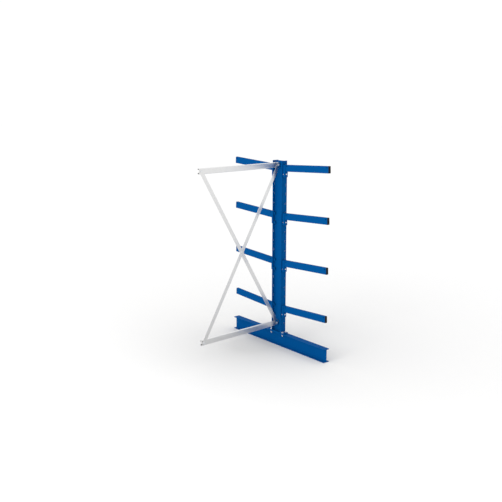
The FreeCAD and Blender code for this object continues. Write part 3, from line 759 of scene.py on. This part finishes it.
def arm_place(side, level):
    """The frame of an arm: its origin at the tube's inner end, level with its top, X along the arm."""
    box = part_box(f"arm_tube_{side}_{level}")
    inner = box[0].x if side == "right" else box[1].x
    top = box[0].z + ARM_HEIGHT * math.cos(ARM_TILT)
    turn = Matrix.Rotation(0 if side == "right" else math.pi, 4, "Z")
    return Matrix.Translation((inner, 0, top)) @ turn @ Matrix.Rotation(-ARM_TILT, 4, "Y")


SIDES, LEVELS = ("right", "left"), (1, 2, 3, 4)
CAP_RIM, CAP_PLUG, CAP_ROUND, CAP_ROUND_STEPS = 3 * MM, 12 * MM, 1.2 * MM, 6
PLUG_PLAY, PLUG_WALL, PLUG_FLOOR = 0.3 * MM, 2 * MM, 0.5 * MM
LEAD_IN, LEAD_LENGTH, RIM_BACK = 0.4 * MM, 1 * MM, 0.05 * MM
FACE_EDGE, FACE_INSET, FACE_DROP = 2.6 * MM, 3.1 * MM, 0.4 * MM


def add_cap(mesh, place):
    outside = ARM_WALL + PLUG_PLAY
    inner_end, front = ARM_LENGTH - CAP_PLUG, ARM_LENGTH + CAP_RIM
    rings = [rounded_outline(outside + PLUG_WALL, ARM_LENGTH + PLUG_FLOOR)]
    rings += [rounded_outline(outside + PLUG_WALL, inner_end)]
    rings += [rounded_outline(outside + LEAD_IN, inner_end)]
    rings += [rounded_outline(outside, inner_end + LEAD_LENGTH)]
    rings += [rounded_outline(outside, ARM_LENGTH), rounded_outline(RIM_BACK, ARM_LENGTH)]
    for step in range(CAP_ROUND_STEPS + 1):
        angle = math.pi / 2 * step / CAP_ROUND_STEPS
        inset = CAP_ROUND * (1 - math.cos(angle))
        rings.append(rounded_outline(inset, front - CAP_ROUND * (1 - math.sin(angle))))
    rings += [rounded_outline(FACE_EDGE, front), rounded_outline(FACE_INSET, front - FACE_DROP)]
    loft(mesh, rings, place)


for side in SIDES:
    mesh = bmesh.new()
    for level in LEVELS:
        add_cap(mesh, arm_place(side, level))
    finish_piece(f"moulded_caps_{side}", mesh, "black_plastic", [f"arm_cap_{side}_{k}" for k in LEVELS])

# %% [markdown]
# A welder lays a fillet as a row of overlapping puddles, so a bead is a rounded wedge whose surface
# ripples every two or three millimetres and whose width wanders a little. Each bead is lofted along a
# straight run: the cross-section is a quarter-round between two legs, and the ripple swells it in a
# rising sawtooth, as each puddle freezes over the last.

# %% Weld beads
RIPPLE, SAWTOOTH = 2.6 * MM, 0.10
BEAD_STEPS, ARC_STEPS, TAPER_STEPS = 4, 5, 3
ENDS_SIZE = 0.55  # a bead's size at its ends, as a share of the middle
ARC_FLAT, ARC_BULGE = 0.86, 0.10


def add_bead(mesh, start, end, leg_a, leg_b, size):
    """A fillet from start to end in the corner between two faces that leave along leg_a and leg_b."""
    run = end - start
    count = max(3, int(run.length / RIPPLE)) * BEAD_STEPS
    rings = []
    for step in range(count + 1):
        share = step / count
        at = start + run * share
        puddle = (step % BEAD_STEPS) / BEAD_STEPS
        wander = math.sin(37 * share * run.length / 0.02) * 0.05 + math.sin(11 * at.length / 0.013) * 0.04
        taper = min(1, share * count / TAPER_STEPS, (1 - share) * count / TAPER_STEPS)
        fullness = ENDS_SIZE + (1 - ENDS_SIZE) * taper
        swell = size * fullness * (1 + SAWTOOTH * (1 - puddle) + wander)
        ring = [at - leg_a * 0.3 * MM - leg_b * 0.3 * MM]
        for index in range(ARC_STEPS + 1):
            angle = math.pi / 2 * index / ARC_STEPS
            bulge = ARC_FLAT + ARC_BULGE * math.sin(2 * angle)
            ring.append(at + (leg_a * math.cos(angle) + leg_b * math.sin(angle)) * swell * bulge)
        rings.append(ring)
    loft(mesh, rings)


print("ripple every", round(RIPPLE * 1000, 1), "mm")

# %% [markdown]
# The column's foot is welded outside each flange, behind each flange on both sides of the web, and along
# the web. The inner beads stop short of the rolled roots, which a straight bead couldn't follow.

# %% Beads round the column's foot
column_low, column_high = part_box("column")
FLANGE, WEB_HALF, ROOT, FOOT_BEAD, FOOT_GAP = 6.9 * MM, 2.35 * MM, 7 * MM, 5 * MM, 1 * MM
foot = column_low.z
mesh = bmesh.new()
for x_side in (-1, 1):
    face_x = x_side * column_high.x
    back_x = x_side * (column_high.x - FLANGE)
    reach_y = column_high.y - FOOT_GAP
    add_bead(
        mesh, Vector((face_x, -reach_y, foot)), Vector((face_x, reach_y, foot)),
        OUT_X * x_side, UP, FOOT_BEAD,
    )
    for y_side in (-1, 1):
        web_y = y_side * (WEB_HALF + ROOT)
        add_bead(
            mesh, Vector((back_x, web_y, foot)), Vector((back_x, y_side * reach_y, foot)),
            OUT_X * -x_side, UP, FOOT_BEAD,
        )
for y_side in (-1, 1):
    side_y = y_side * WEB_HALF
    half = column_high.x - FLANGE - ROOT
    add_bead(
        mesh, Vector((-half, side_y, foot)), Vector((half, side_y, foot)),
        OUT_Y * y_side, UP, FOOT_BEAD,
    )
finish_piece("weld_column_foot", mesh, "blue_paint", smooth_angle=60)

# %% [markdown]
# The arm tube is held between the bracket's two cheeks by an upright bead on each side, and by one
# across its underside where the front plate meets it. The bead's corner is where the cheek's narrow
# front edge meets the tube's side.

# %% Beads on the arms
ARM_BEAD, ARM_BEAD_GAP = 4 * MM, 4 * MM
UNDER_BEAD, UNDER_GAP, UNDER_RISE = 5 * MM, 3 * MM, 1 * MM
for side in SIDES:
    mesh = bmesh.new()
    out = OUT_X if side == "right" else -OUT_X
    for level in LEVELS:
        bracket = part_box(f"arm_bracket_{side}_{level}")
        front = bracket[1].x if side == "right" else bracket[0].x
        top = bracket[1].z
        for y_side in (-1, 1):
            corner = Vector((front, y_side * ARM_WIDTH / 2, 0))
            add_bead(
                mesh, corner + UP * (top - ARM_BEAD_GAP),
                corner + UP * (top - ARM_HEIGHT + ARM_BEAD_GAP), out, OUT_Y * y_side, ARM_BEAD,
            )
        below = Vector((front, 0, top - ARM_HEIGHT + UNDER_RISE))
        half = OUT_Y * (ARM_WIDTH / 2 - UNDER_GAP)
        add_bead(mesh, below - half, below + half, out, -UP, UNDER_BEAD)
    finish_piece(f"weld_arms_{side}", mesh, "blue_paint", smooth_angle=60)

# %% [markdown]
# The two lugs that carry the bracing stand on the column's web. Each has one upright bead, on the side
# that the rail leaves free.

# %% Beads on the bracing lugs
LUG_BEAD, LUG_GAP = 3.5 * MM, 1 * MM
mesh = bmesh.new()
for lug in ("brace_lug_top", "brace_lug_bottom"):
    low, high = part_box(lug)
    add_bead(
        mesh, Vector((low.x, -WEB_HALF, low.z + LUG_GAP)),
        Vector((low.x, -WEB_HALF, high.z - LUG_GAP)), -OUT_X, -OUT_Y, LUG_BEAD,
    )
finish_piece("weld_brace_lugs", mesh, "blue_paint", smooth_angle=60)

# %% [markdown]
# The studio is a pale floor that reaches far beyond the view, under an even white dome, as in a light
# tent. One soft lamp from the side of the bracing lifts the faces that look that way a little above the
# others. The floor is greyer near the rack and white further out, which stands in for the wide soft
# shadow of a light tent. Glossy rays meet a darker floor than the eye does. That is a stage trick: it
# sets the tone of the zinc, and no real floor does it. The floor is the stage and not part of the rack.

# %% Floor
FLOOR_REACH = 60.0
FLOOR_MIDDLE = (0.685, 0.68, 0.67, 1.0)
POOL_MIDDLE = (-0.16, -0.25, 0.0)
PAPER_DARK, PAPER_LIGHT = (0.985, 0.985, 0.985, 1), (0.99, 0.99, 0.99, 1)
SEEN_SPAN = (-0.7, 0.76)  # powers of ten of the distance in metres, as in the mirrored span
MIRRORED_SPAN, MIRRORED_GREY = (-0.3, 1.2), (0.52, 0.93)
FLOOR_ROUGHNESS, FLOOR_SPECULAR = 0.9, 0.05
corners = [(-1, -1), (1, -1), (1, 1), (-1, 1)]
floor_mesh = bpy.data.meshes.new("studio_floor")
floor_mesh.from_pydata([(x * FLOOR_REACH, y * FLOOR_REACH, 0) for x, y in corners], [], [(0, 1, 2, 3)])
floor = bpy.data.objects.new("studio_floor", floor_mesh)
bpy.context.scene.collection.objects.link(floor)


def make_floor_material():
    material, tree, shader = start_material("pale_floor")
    off_middle = add_node(
        tree, "ShaderNodeVectorMath", {0: object_place(tree), 1: POOL_MIDDLE}, operation="SUBTRACT"
    ).outputs["Vector"]
    away = add_node(tree, "ShaderNodeVectorMath", {0: off_middle}, operation="LENGTH").outputs["Value"]
    decades = add_node(tree, "ShaderNodeMath", {0: away, 1: 10.0}, operation="LOGARITHM").outputs[0]
    falloff = map_range(tree, decades, MIRRORED_SPAN, MIRRORED_GREY)
    mirrored = add_node(tree, "ShaderNodeCombineColor", {0: falloff, 1: falloff, 2: falloff}).outputs[0]
    grain = use_group(tree, GRAIN, Scale=40.0, Broad_Scale=0.6, Broad_Share=0.7)
    paper = mix_colours(tree, grain["Shade"], PAPER_DARK, PAPER_LIGHT)
    seen = mix_colours(tree, map_range(tree, decades, SEEN_SPAN), FLOOR_MIDDLE, paper)
    glossy = add_node(tree, "ShaderNodeLightPath").outputs["Is Glossy Ray"]
    plug(tree, shader, Base_Color=mix_colours(tree, glossy, seen, mirrored))
    plug(tree, shader, Roughness=FLOOR_ROUGHNESS, Specular_IOR_Level=FLOOR_SPECULAR)
    return material


floor_mesh.materials.append(make_floor_material())
print("floor", 2 * FLOOR_REACH, "m across")

# %% [markdown]
# The dome is a plain white world. The one lamp is a large square that stands well off on the side of the
# bracing, so that its shadows stay soft.

# %% Dome and lamp
DOME_COLOUR, DOME_STRENGTH = (1.0, 1.0, 1.0, 1.0), 1.03
SOFTBOX_AT, SOFTBOX_TARGET = (0.8, -6.5, 2.4), (0, 0, 1.0)
SOFTBOX_SIZE, SOFTBOX_POWER = 3.0, 150
world = bpy.data.worlds.new("light_tent")
world.use_nodes = True
plug(
    world.node_tree, world.node_tree.nodes["Background"], Color=DOME_COLOUR, Strength=DOME_STRENGTH
)
bpy.context.scene.world = world


def add_softbox(name, location, aim_at, size, power):
    data = bpy.data.lights.new(name, "AREA")
    data.shape, data.size, data.energy = "SQUARE", size, power
    lamp = bpy.data.objects.new(name, data)
    lamp.location = location
    lamp.rotation_euler = (Vector(aim_at) - Vector(location)).to_track_quat("-Z", "Y").to_euler()
    bpy.context.scene.collection.objects.link(lamp)


add_softbox("side_softbox", SOFTBOX_AT, SOFTBOX_TARGET, SOFTBOX_SIZE, SOFTBOX_POWER)
print("light ready")
